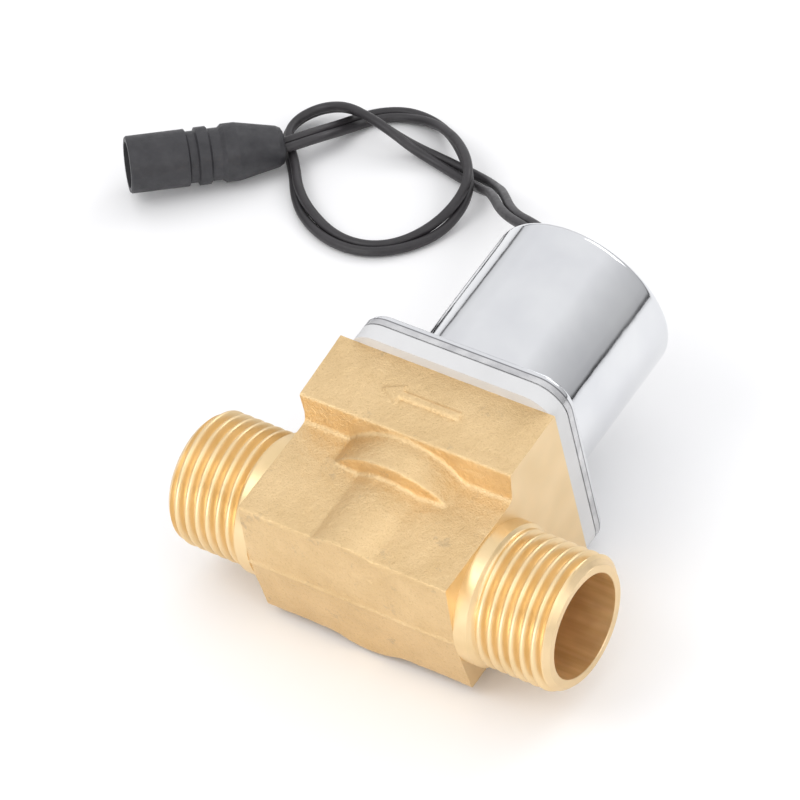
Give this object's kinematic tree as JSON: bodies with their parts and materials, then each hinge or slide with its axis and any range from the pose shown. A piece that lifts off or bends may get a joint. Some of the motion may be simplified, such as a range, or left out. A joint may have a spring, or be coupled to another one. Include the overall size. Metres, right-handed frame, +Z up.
{
  "type": "solenoid valve",
  "caption": "Pilot-operated latching solenoid valve: cast brass pipe body with threaded ports, plastic bonnet, round metal cover over the coil, and a knotted twin lead with a round plug.",
  "frame": {"origin": "on the surface that the valve lies on, under the centre of the valve's own box (without the lead and its plug)", "axes": "+X along the pipe towards the inlet port; +Z up from the table; the valve lies on its side, so its solenoid axis points along +Y, raised 9 degrees"},
  "size_m": [0.1294, 0.1106, 0.0373],
  "materials": {
    "body_brass": "cast, sand-textured outside; machined end faces, threads and bores",
    "bonnet_plastic": "white moulded glass-filled nylon",
    "cover_chrome": "bright chromed, drawn or die-cast shell",
    "rubber": "moulded black EPDM rubber",
    "disc_plastic": "moulded acetal",
    "stainless_steel": "turned or drawn stainless steel",
    "plated_steel": "zinc-plated steel",
    "bobbin_plastic": "moulded natural nylon",
    "coil_copper": "lacquered copper wire, wound in layers",
    "magnet_black": "pressed ferrite, matt",
    "lead_pvc": "black PVC insulation with a slight sheen",
    "plug_rubber": "dark grey moulded elastomer",
    "plug_insert_plastic": "black moulded plastic",
    "contact_metal": "tinned brass"
  },
  "bodies": {
    "housing": {"valve_body": "body_brass", "inlet_port": "body_brass", "outlet_port": "body_brass", "diaphragm": "rubber", "metering_pin": "stainless_steel", "bonnet": "bonnet_plastic", "guide_tube": "stainless_steel", "tube_o_ring": "rubber", "plunger_spring": "stainless_steel", "fixed_core": "stainless_steel", "magnet_ring": "magnet_black", "bobbin": "bobbin_plastic", "coil_winding": "coil_copper", "yoke_plate": "plated_steel", "yoke": "plated_steel", "coil_terminals": "contact_metal", "inner_leads": "lead_pvc", "cover": "cover_chrome", "cover_screws": "stainless_steel", "lead_grommet": "rubber", "lead_wire_a": "lead_pvc", "lead_wire_b": "lead_pvc", "plug_shell": "plug_rubber", "plug_insert": "plug_insert_plastic", "plug_contacts": "contact_metal"},
    "pilot_plunger": {"plunger": "stainless_steel", "plunger_seal": "rubber"},
    "main_valve": {"diaphragm_disc": "disc_plastic", "diaphragm_retainer": "disc_plastic"}
  },
  "joints": [
    {"name": "plunger_lift", "type": "slide", "parent": "housing", "child": "pilot_plunger", "axis": [0, 0.9877, 0.1564], "range_m": [0, 0.003], "stiffness_N_per_m": 150, "springref_m": -0.006, "deforming": ["plunger_spring"]},
    {"name": "main_valve_lift", "type": "slide", "parent": "housing", "child": "main_valve", "axis": [0, 0.9877, 0.1564], "range_m": [0, 0.0024], "deforming": ["diaphragm"]}
  ],
  "couplings": [
    {"joint": "main_valve_lift", "follows": "plunger_lift", "ratio": 0.8}
  ]
}
